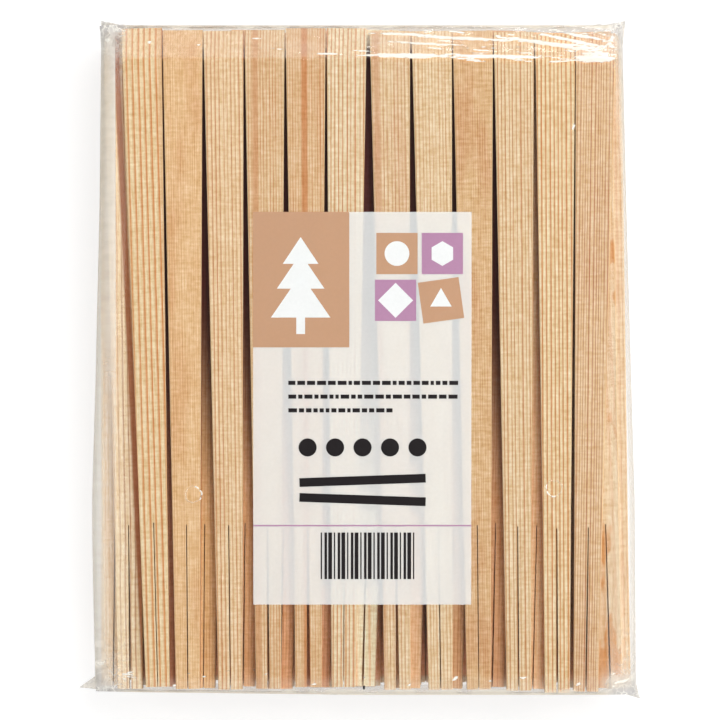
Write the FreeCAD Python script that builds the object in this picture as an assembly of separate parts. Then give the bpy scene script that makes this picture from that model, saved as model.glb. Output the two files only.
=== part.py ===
"""A sealed clear-film pack of disposable wooden chopsticks, lying on its back.

A pair is one tapered stick of wood, sawn up the middle from its tips and left joined at its head,
which is cut to a slant. The pairs lie side by side in rows, heads to +Y, and the rows are stacked
to +Z. Each pair is thinner at its tips, so each row leans a little more than the row under it.
The film bag is stretched round the stack and welded across both ends.

+X is across the rows, +Y is towards the heads and +Z is up. The origin is at the centre of the
bottom of the bag. All sizes are in millimetres.
"""

import FreeCAD, Part
import math
import os

from FreeCAD import Placement, Rotation, Vector

# One pair.
PAIR_LENGTH = 240.0
HEAD_WIDTH = 14.6
TIP_WIDTH = 8.7
HEAD_THICKNESS = 5.0
TIP_THICKNESS = 4.2
ARRIS = 0.35                # chamfer on the long outer edges
SLIT_LENGTH = 60.0          # from the tips
SLIT_WIDTH = 0.35
SLANT_LENGTH = 12.0         # the slanted cut on the head
SLANT_LIP = 1.6             # wood left under the slant at the end of the head

# The rows.
ROW_CLEARANCE = 0.05        # between a row and the next
TIGHT_GAP = 0.05            # between heads in a full row
LOOSE_GAP = 0.3             # between heads in the top row
WIDE_GAP = 0.9              # between heads in the row below it
ROW_2_CENTRE = 0.6          # rows that don't lie in the middle of the stack
ROW_7_CENTRE = -1.3
TOP_ROW_CENTRE = 2.2
HIDDEN_WANDER = 0.12        # unevenness of the leans in the hidden rows
HIDDEN_SLIDE = 0.4          # how far their pairs are pushed to and fro
LEFT_SLIDE = 0.3            # how far they are pushed towards the heads at the left of a row
RIGHT_SLIDE = -0.9          # and at its right
HIDDEN_SPLAYS = (0.0, 0.1, 0.2, 0.3, 0.4)

# The bag.
FILM_WALL = 0.2
FILM_CLEARANCE = 0.1        # between the film and the wood it is stretched over
END_CLEARANCE = 0.3         # between the film and the ends of the pairs
BELLY_SHARE = 0.72          # where the bag bulges most: a share of the way to the tips
HEAD_BULGE = 0.0            # how far the sides stand off the widest rows
BELLY_BULGE = 2.3
TIP_BULGE = 1.6
WELD_THICKNESS = 0.4
WELD_WIDTH = 1.5            # how far the weld stands out of the end of the bag
HEAD_EARS = ((0.2, 2.0), (1.8, 2.0))    # left and right: how far the tip of the ear reaches
TIP_EARS = ((6.0, -2.8), (1.6, 1.4))    # past the side of the bag, and past its weld
EAR_FOLD = 12.0             # length of side that an ear is folded out of
VENT_RADIUS = 2.8
VENT_SPAN = 131.3           # between the two vents
VENT_SHIFT = 2.8            # of their middle, to the right of the middle of the stack
VENT_FROM_TIPS = 73.6       # of their middle
VENT_RISE = 2.2             # how much nearer the heads the right vent lies than the left

FLAT = 1e-6                 # points this near a plane lie on it

SEED_STEP = 2.399963        # golden angle in radians: spreads the wander of the hidden rows
SEEDS_PER_ROW = 17          # more than the pairs in any row, so that no two rows wander alike


class Row:
    """One row of pairs, counted from the left, with its centre at the heads.

    A lean is how far a pair's tips lie to the right of its head, as a share of the room that
    tapering leaves between two pairs. From a pair to the next it never falls by 1, so pairs
    can't cross. A slide is how far a pair is pushed towards the heads, and a splay is how much
    its slit opens at the tips. A nudge is how far a head lies to the right of its even place.
    """

    def __init__(self, name, centre, gap, leans, slides, splays, nudges=None, separate=False):
        self.name = name
        self.centre = centre
        self.gap = gap
        self.leans = leans
        self.slides = slides
        self.splays = splays
        self.nudges = nudges or [0.0] * len(leans)
        self.separate = separate

    def pitch(self):
        return HEAD_WIDTH + self.gap

    def head_x(self, index):
        even = self.centre + (index - (len(self.leans) - 1) / 2) * self.pitch()
        return even + self.nudges[index]

    def lean(self, index):
        return self.leans[index] * (self.pitch() - TIP_WIDTH)


def hidden_row(name, number, count, centre, gap, left, right, separate=False):
    """A row that fans evenly from one lean to another, with a little wander."""
    wander = [math.sin(SEED_STEP * (number * SEEDS_PER_ROW + i)) for i in range(count)]
    step = (right - left) / (count - 1)
    leans = [left + step * i + HIDDEN_WANDER * wander[i] for i in range(count)]
    drift = (RIGHT_SLIDE - LEFT_SLIDE) / (count - 1)
    slides = [LEFT_SLIDE + drift * i + HIDDEN_SLIDE * wander[-1 - i] for i in range(count)]
    splays = [HIDDEN_SPLAYS[(number + 2 * i) % len(HIDDEN_SPLAYS)] for i in range(count)]
    return Row(name, centre, gap, leans, slides, splays, separate=separate)


def all_rows():
    """The rows from the floor up. The two top rows show, so their pairs are set one by one."""
    second = Row(
        "row_7", ROW_7_CENTRE, WIDE_GAP,
        leans=[0.30, 0.01, -0.32, -0.46, -0.74, -1.0, -0.86, -0.69, -0.69, -0.73, -0.82, 1.08],
        slides=[-0.5, 0.3, -0.2, 0.4, -0.6, 0.1, 0.5, -0.3, -0.4, 0.2, -0.5, -0.2],
        splays=[0.5, 0.1, 0.0, 0.2, 0.3, 0.1, 0.4, 0.2, 0.0, 0.2, 0.1, 0.3],
        separate=True,
    )
    top = Row(
        "top_row", TOP_ROW_CENTRE, LOOSE_GAP,
        leans=[0.90, 0.27, 0.37, 0.21, 0.16, -0.18, 0.47, 0.55, 0.39, 0.34, 0.19, -0.52],
        slides=[0.7, 0.0, -0.2, 0.1, 0.7, 0.7, -0.3, -0.3, -0.2, -0.6, -1.4, -1.0],
        splays=[0.0, 0.1, 0.1, 0.5, 1.0, 0.0, 1.0, 0.1, 0.0, 0.2, 0.4, 0.4],
        nudges=[0.0, 0.0, 0.0, 0.0, 0.0, 0.0, 0.8, 1.1, 1.1, 1.1, 1.2, 1.1],
        separate=True,
    )
    return [
        hidden_row("bottom_row", 1, 12, 0.0, LOOSE_GAP, -0.5, 0.7, separate=True),
        hidden_row("row_2", 2, 12, ROW_2_CENTRE, LOOSE_GAP, -0.6, 0.8),
        hidden_row("row_3", 3, 13, 0.0, TIGHT_GAP, -0.5, 1.0),
        hidden_row("row_4", 4, 13, 0.0, TIGHT_GAP, -0.55, 1.1),
        hidden_row("row_5", 5, 13, 0.0, TIGHT_GAP, -0.6, 1.15),
        hidden_row("row_6", 6, 13, 0.0, TIGHT_GAP, -0.5, 1.15),
        second,
        top,
    ]


def prism(points, depth):
    """The closed outline of these points, swept by a vector."""
    outline = Part.makePolygon(points + points[:1])
    return Part.Face(outline).extrude(depth)


def plan_outline(splay):
    """A pair seen from above: its head end is on the X axis and its tips point to -Y."""
    root_y = SLIT_LENGTH - PAIR_LENGTH
    head, tip = HEAD_WIDTH / 2, TIP_WIDTH / 2
    root = tip + (head - tip) * SLIT_LENGTH / PAIR_LENGTH
    inner, opening = SLIT_WIDTH / 2, splay / 2
    right = [(head, 0.0)]
    if splay > 0:
        right.append((root, root_y))
    right.append((tip + opening, -PAIR_LENGTH))
    right.append((inner + opening, -PAIR_LENGTH))
    right.append((inner, root_y))
    left = [(-x, y) for x, y in reversed(right)]
    return [Vector(x, y, 0) for x, y in right + left]


def side_outline():
    """A pair seen from its side: flat underneath and thinner towards its tips."""
    return [
        Vector(0, 0, 0),
        Vector(0, -PAIR_LENGTH, 0),
        Vector(0, -PAIR_LENGTH, TIP_THICKNESS),
        Vector(0, 0, HEAD_THICKNESS),
    ]


def slant_outline():
    """What the slanted cut takes off the head, seen from the side, with room to spare above."""
    steepness = (HEAD_THICKNESS - SLANT_LIP) / SLANT_LENGTH
    spare = HEAD_THICKNESS
    start = -SLANT_LENGTH - spare / steepness
    end = HEAD_THICKNESS
    return [
        Vector(0, start, HEAD_THICKNESS + spare),
        Vector(0, end, SLANT_LIP - end * steepness),
        Vector(0, end, HEAD_THICKNESS + spare),
    ]


def long_outer_edges(solid):
    """The long edges down both outsides of a pair, which lie further out than the slit."""
    found = []
    for edge in solid.Edges:
        middle = edge.CenterOfMass
        along = abs(edge.Vertexes[0].Y - edge.Vertexes[-1].Y) > SLIT_LENGTH / 2
        if along and abs(middle.x) > TIP_WIDTH / 2 - ARRIS:
            found.append(edge)
    return found


def pair_solid(splay):
    """One pair on the XY plane, with the middle of its head end at the origin."""
    widest = 2 * HEAD_WIDTH
    plan = prism(plan_outline(splay), Vector(0, 0, HEAD_THICKNESS))
    side = prism(side_outline(), Vector(widest, 0, 0))
    side.translate(Vector(-widest / 2, 0, 0))
    blank = plan.common(side)
    eased = blank.makeChamfer(ARRIS, long_outer_edges(blank))
    slant = prism(slant_outline(), Vector(widest, 0, 0))
    slant.translate(Vector(-widest / 2, 0, 0))
    return eased.cut(slant).Solids[0]


def row_frames(count):
    """Where each row stands: its frame has the head ends on its X axis. One more than the rows.

    A row's top slopes down to its tips by the taper, and the next row lies on that slope.
    """
    taper = math.degrees(math.atan2(HEAD_THICKNESS - TIP_THICKNESS, PAIR_LENGTH))
    step = Placement(
        Vector(0, 0, HEAD_THICKNESS + ROW_CLEARANCE), Rotation(Vector(1, 0, 0), taper)
    )
    floor = FILM_WALL + FILM_CLEARANCE
    frames = [Placement(Vector(0, PAIR_LENGTH / 2, floor), Rotation())]
    for _ in range(count):
        frames.append(frames[-1].multiply(step))
    return frames


def placed(solid, placement):
    """A copy of a solid with the placement worked into its geometry."""
    moved = solid.copy()
    moved.transformShape(placement.toMatrix(), True)
    return moved


def row_pairs(row, frame, patterns):
    """The pairs of one row, each turned in the row's own plane about its head end."""
    pairs = []
    for index, slide in enumerate(row.slides):
        splay = round(row.splays[index], 3)
        if splay not in patterns:
            patterns[splay] = pair_solid(splay)
        turn = math.degrees(math.asin(row.lean(index) / PAIR_LENGTH))
        seat = Placement(Vector(row.head_x(index), slide, 0), Rotation(Vector(0, 0, 1), turn))
        pairs.append(placed(patterns[splay], frame.multiply(seat)))
    return pairs


def row_corners(rows, frames, share):
    """The (x, z) corners of each row's section, at a share of the way from its heads to its tips."""
    corners = []
    half = (HEAD_WIDTH + (TIP_WIDTH - HEAD_WIDTH) * share) / 2
    for row, low, high in zip(rows, frames, frames[1:]):
        last = len(row.leans) - 1
        left = row.head_x(0) - half + (row.lean(0) - row.splays[0] / 2) * share
        right = row.head_x(last) + half + (row.lean(last) + row.splays[last] / 2) * share
        for frame in (low, high):
            height = frame.multVec(Vector(0, -PAIR_LENGTH * share, 0)).z
            corners.append((left, right, height))
    return corners


def taut(heights, points):
    """The furthest reach of a film stretched round (reach, z) points, at each height."""
    reaches = []
    for height in heights:
        best = max(reach for reach, z in points if abs(z - height) < FLAT)
        for reach_a, z_a in points:
            for reach_b, z_b in points:
                if z_a < height < z_b:
                    share = (height - z_a) / (z_b - z_a)
                    best = max(best, reach_a + share * (reach_b - reach_a))
        reaches.append(best)
    return reaches


def film_section(corners, y, margin, bulge, drop=0.0):
    """The corners of the bag's outline at one place: taut round the rows, with bulging sides.

    The top of the outline lies lower than the rows by the drop.
    """
    heights = sorted({round(z, 6) for _, _, z in corners})
    lefts = taut(heights, [(-left, round(z, 6)) for left, _, z in corners])
    rights = taut(heights, [(right, round(z, 6)) for _, right, z in corners])
    bottom, top = heights[0], heights[-1]
    middle, half = (bottom + top) / 2, (top - bottom) / 2
    outline = []
    for side, reaches in ((1, rights), (-1, lefts)):
        points = []
        for reach, z in zip(reaches, heights):
            swell = bulge * (1 - ((z - middle) / half) ** 2)
            lift = margin * (z - middle) / half
            fall = drop if z == top else 0.0
            points.append(Vector(side * (reach + margin + swell), y, z + lift - fall))
        outline.extend(points if side > 0 else reversed(points))
    return outline


def panel(corners):
    """The face on four corners: a plane where they allow it, and otherwise a ruled surface."""
    a, b, c, d = corners
    normal = (b - a).cross(d - a).normalize()
    if abs(normal.dot(c - a)) < FLAT:
        return Part.Face(Part.makePolygon([a, b, c, d, a]))
    return Part.makeRuledSurface(Part.makeLine(a, b), Part.makeLine(d, c))


def skinned(outlines):
    """The solid through a row of outlines that all have as many corners as each other."""
    ends = (outlines[0], outlines[-1])
    faces = [Part.Face(Part.makePolygon(outline + outline[:1])) for outline in ends]
    for near, far in zip(outlines, outlines[1:]):
        for i in range(len(near)):
            j = (i + 1) % len(near)
            faces.append(panel([near[i], near[j], far[j], far[i]]))
    solid = Part.makeSolid(Part.makeShell(faces))
    solid.fix(FLAT, FLAT, FLAT)
    return solid


def film_body(rows, frames, stack, margin):
    """The solid inside a skin that clears the stack by a margin all round.

    From the ridge, where the slanted cuts begin, the skin slopes down with them to the heads.
    """
    grow = margin - FILM_CLEARANCE
    heads = stack.YMax + END_CLEARANCE + grow
    ridge = stack.YMax - SLANT_LENGTH
    tips = stack.YMin - END_CLEARANCE - grow
    belly = stack.YMax - PAIR_LENGTH * BELLY_SHARE
    ridge_share = SLANT_LENGTH / PAIR_LENGTH
    ridge_bulge = HEAD_BULGE + (BELLY_BULGE - HEAD_BULGE) * ridge_share / BELLY_SHARE
    at_heads = row_corners(rows, frames, 0)
    at_ridge = row_corners(rows, frames, ridge_share)
    at_belly = row_corners(rows, frames, BELLY_SHARE)
    at_tips = row_corners(rows, frames, 1)
    return skinned([
        film_section(at_tips, tips, margin, TIP_BULGE),
        film_section(at_belly, belly, margin, BELLY_BULGE),
        film_section(at_ridge, ridge, margin, ridge_bulge),
        film_section(at_heads, heads, margin, HEAD_BULGE, HEAD_THICKNESS - SLANT_LIP),
    ])


def weld(body, end, ears):
    """The flat weld across one end of the bag (end +1 or -1), with an ear at each corner."""
    box = body.BoundBox
    limit = box.YMax if end > 0 else box.YMin
    fold = limit - end * EAR_FOLD
    slab = Part.makeBox(2 * box.XLength, FILM_WALL, box.ZLength)
    slab.translate(Vector(-box.XLength, fold - FILM_WALL / 2, box.ZMin))
    corners = body.common(slab).Vertexes
    left, right = min(v.X for v in corners), max(v.X for v in corners)
    height = (box.ZMin + box.ZMax) / 2
    out = limit + end * WELD_WIDTH
    (left_reach, left_drop), (right_reach, right_drop) = ears
    points = [
        Vector(left + FILM_WALL, fold, height),
        Vector(left - left_reach, out + end * left_drop, height),
        Vector(left + EAR_FOLD, out, height),
        Vector(right - EAR_FOLD, out, height),
        Vector(right + right_reach, out + end * right_drop, height),
        Vector(right - FILM_WALL, fold, height),
    ]
    strip = prism(points, Vector(0, 0, WELD_THICKNESS))
    strip.translate(Vector(0, 0, -WELD_THICKNESS / 2))
    return strip


def vents(stack):
    """What the two round punches take out of the upper side of the film."""
    drills = []
    for side in (-1, 1):
        x = stack.Center.x + VENT_SHIFT + side * VENT_SPAN / 2
        y = stack.YMin + VENT_FROM_TIPS + side * VENT_RISE / 2
        foot = Vector(x, y, stack.Center.z)
        drills.append(Part.makeCylinder(VENT_RADIUS, stack.ZLength, foot))
    return drills


def film_bag(rows, frames, stack):
    """The bag as one closed skin with its two welds and its two vents."""
    outside = film_body(rows, frames, stack, FILM_CLEARANCE + FILM_WALL)
    inside = film_body(rows, frames, stack, FILM_CLEARANCE)
    welds = [weld(outside, 1, HEAD_EARS), weld(outside, -1, TIP_EARS)]
    bag = outside.fuse(welds).cut([inside] + vents(stack))
    return bag.removeSplitter().Solids[0]


def build():
    """Each node's name with its list of solids, before the origin is set."""
    rows = all_rows()
    frames = row_frames(len(rows))
    patterns = {}
    nodes = {}
    everything = []
    for row, frame in zip(rows, frames):
        pairs = row_pairs(row, frame, patterns)
        everything.extend(pairs)
        if row.separate:
            for index, pair in enumerate(pairs):
                nodes[f"{row.name}_pair_{index + 1:02d}"] = [pair]
        else:
            nodes[f"{row.name}_pairs"] = pairs
    stack = Part.makeCompound(everything).BoundBox
    nodes["film_bag"] = [film_bag(rows, frames, stack)]
    return nodes


def main():
    nodes = build()
    box = nodes["film_bag"][0].BoundBox
    to_origin = Vector(-box.Center.x, -box.Center.y, -box.ZMin)
    os.makedirs("parts", exist_ok=True)
    for name, solids in nodes.items():
        for solid in solids:
            solid.translate(to_origin)
        shape = solids[0] if len(solids) == 1 else Part.makeCompound(solids)
        shape.exportStep(f"parts/{name}.step")


main()
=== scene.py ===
"""The looks of a sealed clear pack of disposable wooden chopsticks.

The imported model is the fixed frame. Its cedar pairs keep their shapes and get their grain here. The
film bag is made again, with its creases, welds and folded corners, and the ink is laid on its top.
"""

import logging
import math
import random
from collections.abc import Callable
from dataclasses import asdict, dataclass, field, replace
from enum import Enum

import bpy
import numpy as np
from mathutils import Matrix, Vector
from mathutils import noise
from mathutils.bvhtree import BVHTree

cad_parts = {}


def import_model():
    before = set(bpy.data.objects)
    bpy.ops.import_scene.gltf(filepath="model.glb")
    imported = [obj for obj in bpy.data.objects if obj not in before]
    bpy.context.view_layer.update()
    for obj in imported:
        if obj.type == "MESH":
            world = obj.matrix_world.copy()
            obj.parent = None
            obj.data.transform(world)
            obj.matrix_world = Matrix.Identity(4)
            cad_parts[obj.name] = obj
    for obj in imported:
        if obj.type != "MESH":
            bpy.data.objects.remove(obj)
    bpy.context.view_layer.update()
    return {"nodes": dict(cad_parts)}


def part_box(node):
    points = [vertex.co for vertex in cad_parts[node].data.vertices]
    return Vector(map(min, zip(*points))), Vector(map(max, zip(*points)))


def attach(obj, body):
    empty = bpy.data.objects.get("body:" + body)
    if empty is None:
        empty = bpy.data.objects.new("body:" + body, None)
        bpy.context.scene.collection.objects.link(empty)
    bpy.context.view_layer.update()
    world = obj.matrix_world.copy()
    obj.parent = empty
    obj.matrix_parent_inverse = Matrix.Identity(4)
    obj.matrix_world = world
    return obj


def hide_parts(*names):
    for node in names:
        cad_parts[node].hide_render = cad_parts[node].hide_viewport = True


MM = 0.001
LOG = logging.getLogger("chopstick_pack")
Colour = tuple[float, float, float, float]
Pair = tuple[float, float]
Triple = tuple[float, float, float]
Socket = bpy.types.NodeSocket
Fed = float | tuple | Socket  # what an input takes: a value, or a socket to link
Piece = bpy.types.Object
Material = bpy.types.Material
Array = np.ndarray


def shade(*channels: float) -> Colour:
    """Turns a colour given from 0 to 255 a channel into the linear values that shaders take.

    Args:
        *channels: Red, green and blue.

    Returns:
        The linear colour, fully opaque.
    """
    linear = []
    for channel in channels:
        part = channel / 255
        linear.append(part / 12.92 if part <= 0.04045 else ((part + 0.055) / 1.055) ** 2.4)
    return (*linear, 1.0)


class Graph:
    """A node tree, with short ways to place nodes and to join their sockets."""

    def __init__(self, tree: bpy.types.NodeTree) -> None:
        """Keeps the tree that the nodes go into, and empties it."""
        self.tree = tree
        tree.nodes.clear()

    def place(self, kind: str, inputs: dict | None = None, **settings) -> bpy.types.Node:
        """Places a node, sets its properties, and sets or links its inputs.

        Args:
            kind: The node's type name, which may leave out its "ShaderNode".
            inputs: What goes into each input, by name or number: a value, or a socket to link.
            **settings: The node's own properties.

        Returns:
            The node.
        """
        node = self.tree.nodes.new(kind if kind.startswith("Node") else f"ShaderNode{kind}")
        for name, value in settings.items():
            setattr(node, name, value)
        for key, value in (inputs or {}).items():
            if isinstance(value, Socket):
                self.tree.links.new(value, node.inputs[key])
            else:
                node.inputs[key].default_value = value
        return node

    def value(self, kind: str, inputs: dict | None = None, **settings) -> Socket:
        """Places a node as place does, and gives its first output."""
        return self.place(kind, inputs, **settings).outputs[0]

    def here(self) -> Socket:
        """The place on the object, in metres."""
        return self.place("TexCoord").outputs["Object"]

    def parts(self, vector: Socket) -> list[Socket]:
        """A vector's x, y and z."""
        return list(self.place("SeparateXYZ", {0: vector}).outputs)

    def math(self, operation: str, *values: Fed) -> Socket:
        """Does a sum on one to three values."""
        return self.value("Math", dict(enumerate(values)), operation=operation)

    def plus(self, first: Fed, second: Fed) -> Socket:
        """Adds two values."""
        return self.math("ADD", first, second)

    def times(self, first: Fed, *others: Fed) -> Socket:
        """Multiplies values, in their order.

        Args:
            first: The first value.
            *others: The others, one or more.

        Returns:
            The product's socket.
        """
        for other in others:
            first = self.math("MULTIPLY", first, other)
        return first

    def lift(self, value: Fed, share: Fed, base: Fed) -> Socket:
        """A base with a share of a value added."""
        return self.math("MULTIPLY_ADD", value, share, base)

    def vary(self, wave: Fed, share: Fed, base: Fed) -> Socket:
        """A base that goes up and down by a share of a noise, whose middle is 0.5."""
        return self.lift(self.math("SUBTRACT", wave, 0.5), share, base)

    def mix(self, share: Fed, first: Fed, second: Fed, blend: str = "MIX") -> Socket:
        """Mixes a share of a second colour into a first one, by a way of blending."""
        inputs = {0: share, 6: first, 7: second}
        return self.place("Mix", inputs, data_type="RGBA", blend_type=blend).outputs[2]

    def even(self, value: Fed, low: Fed = 0.0, high: Fed = 1.0, start: Fed = 0.0, end: Fed = 1.0,
             curve: str = "LINEAR") -> Socket:
        """Goes from start to end, evenly or by another curve, as a value goes from low to high."""
        inputs = {0: value, 1: low, 2: high, 3: start, 4: end}
        return self.value("MapRange", inputs, interpolation_type=curve)

    def step(self, value: Fed, low: Fed, high: Fed, start: Fed = 0.0, end: Fed = 1.0) -> Socket:
        """Goes smoothly from start to end as a value goes from low to high."""
        return self.even(value, low, high, start, end, "SMOOTHSTEP")

    def fade(self, value: Fed, low: Fed, high: Fed) -> Socket:
        """Falls smoothly from 1 to 0 as a value goes from low to high."""
        return self.step(value, low, high, 1.0, 0.0)

    def noise(self, place: Socket, stretch: Triple, detail: float = 1.0,
              shift: Fed = (0.0, 0.0, 0.0)) -> Socket:
        """Reads a noise that is stretched along the axes.

        Args:
            place: The place, in metres.
            stretch: Cycles a metre along each axis.
            detail: How much finer noise is added.
            shift: What is added to the stretched place, so that no two pieces match.

        Returns:
            The noise's socket, about 0 to 1.
        """
        inputs = {0: place, 1: stretch, 2: shift}
        place = self.value("VectorMath", inputs, operation="MULTIPLY_ADD")
        return self.value("TexNoise", {"Vector": place, "Scale": 1.0, "Detail": detail})


class MaterialGraph(Graph):
    """A new material's node tree."""

    def __init__(self, name: str) -> None:
        """Makes the material.

        Args:
            name: The material's name.
        """
        self.material = bpy.data.materials.new(name)
        self.material.use_nodes = True
        super().__init__(self.material.node_tree)

    def finish(self, surface: Socket, lamps_pass: bool = False) -> Material:
        """Joins a shader to the material's output.

        Args:
            surface: The shader.
            lamps_pass: Whether the light of lamps passes, to what lies under a coat or a film.

        Returns:
            The material.
        """
        if lamps_pass:
            path = self.place("LightPath").outputs["Is Shadow Ray"]
            surface = self.value("MixShader", {
                0: path, 1: surface, 2: self.value("BsdfTransparent")})
        self.place("OutputMaterial", {"Surface": surface})
        return self.material


# Meshes


def started(primitive: Callable, **sizes) -> Piece:
    """Adds a primitive, with nothing else selected.

    Args:
        primitive: The operator that adds it.
        **sizes: Its sizes and its place.

    Returns:
        The new object.
    """
    bpy.ops.object.select_all(action="DESELECT")
    primitive(**sizes)
    return bpy.context.active_object


def joined(name: str, pieces: list[Piece]) -> Piece:
    """Joins pieces into the first of them.

    Args:
        name: The name it gets.
        pieces: The pieces.

    Returns:
        The first piece.
    """
    bpy.ops.object.select_all(action="DESELECT")
    for piece in pieces:
        piece.select_set(True)
    bpy.context.view_layer.objects.active = pieces[0]
    if len(pieces) > 1:
        bpy.ops.object.join()
    pieces[0].name = name
    return pieces[0]


def modified(piece: Piece, kind: str, **settings) -> None:
    """Puts a modifier on a piece and applies it.

    Args:
        piece: The piece.
        kind: The modifier's type name.
        **settings: The modifier's own properties.
    """
    bpy.context.view_layer.objects.active = piece
    modifier = piece.modifiers.new(kind.lower(), kind)
    for name, value in settings.items():
        setattr(modifier, name, value)
    bpy.ops.object.modifier_apply(modifier=modifier.name)


def points_of(piece: Piece) -> Array:
    """The places of a piece's vertices, a row each."""
    return np.array([v.co for v in piece.data.vertices])


def shaped(piece: Piece, *places: Array) -> None:
    """Moves a piece's vertices to new places: all their x, their y and their z."""
    piece.data.vertices.foreach_set("co", np.stack(places, -1).ravel())
    piece.data.update()


def wander(*places: Array | float) -> Array:
    """A smooth random value from -1 to 1 for each place, given by its x, y and z."""
    return np.array([noise.noise(Vector(place)) for place in np.broadcast(*places)])


def crushed(x: Array, y: Array, z: Array | float) -> Array:
    """Sharp folds, as crushed film has.

    Args:
        x: Each place's x, in metres.
        y: Its y.
        z: Its z.

    Returns:
        How near each place is to a fold's ridge, from 0 to about 1.
    """
    near = [noise.voronoi(Vector(place))[0] for place in np.broadcast(x * 150, y * 150, z * 110)]
    return np.array([min((second - first) * 1.4, 1.0) for first, second, *_ in near])


def within(value: Array, start: float, reach: float) -> Array:
    """How far a value is past a start, as a share of a reach: 0 to 1."""
    return np.clip((value - start) / reach, 0, 1)


# Cedar

# The least painted shade on a pair's sides, where no other pair shuts them in.
OPEN_GAP_SHADE = 0.15


@dataclass(frozen=True)
class Plank:
    """How one pair's cedar was cut and what its rings look like. Lengths are in millimetres.

    Its sides get a painted shade where other pairs shut them in, as strong as its gap shade value
    says. Its top gets a painted shade where it lies far down in a gap, as its deep shade value
    says. Its band is a warm grain line on some pairs, and on the first pair of row 7 a painted
    shadow of the pair above.
    """

    early: Triple = (242, 214, 172)
    late: Triple = (206, 134, 74)
    rings: float = 1.25
    contrast: float = 0.75
    slant: float = 4.0
    waver: float = 0.5
    width: float = 0.5
    uneven: float = 0.8
    faint: float = 0.45
    ripple: float = 0.42
    band_at: float = 0.0
    grain_and_shadow_band: float = 0.0
    shadow_lean: float = 0.0
    mottle: float = 0.25
    blotch: float = 0.0
    sawn: float = 1.0
    deep_shade: float = 0.0

    def inputs(self) -> dict[str, Fed]:
        """What the grain is given: linear colours, metres and radians.

        Returns:
            A value for each of the fields.
        """
        values = asdict(self)
        for name in ("rings", "waver", "band_at"):
            values[name] *= MM
        return values | {"early": shade(*self.early), "late": shade(*self.late),
                         "slant": math.radians(self.slant)}


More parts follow.
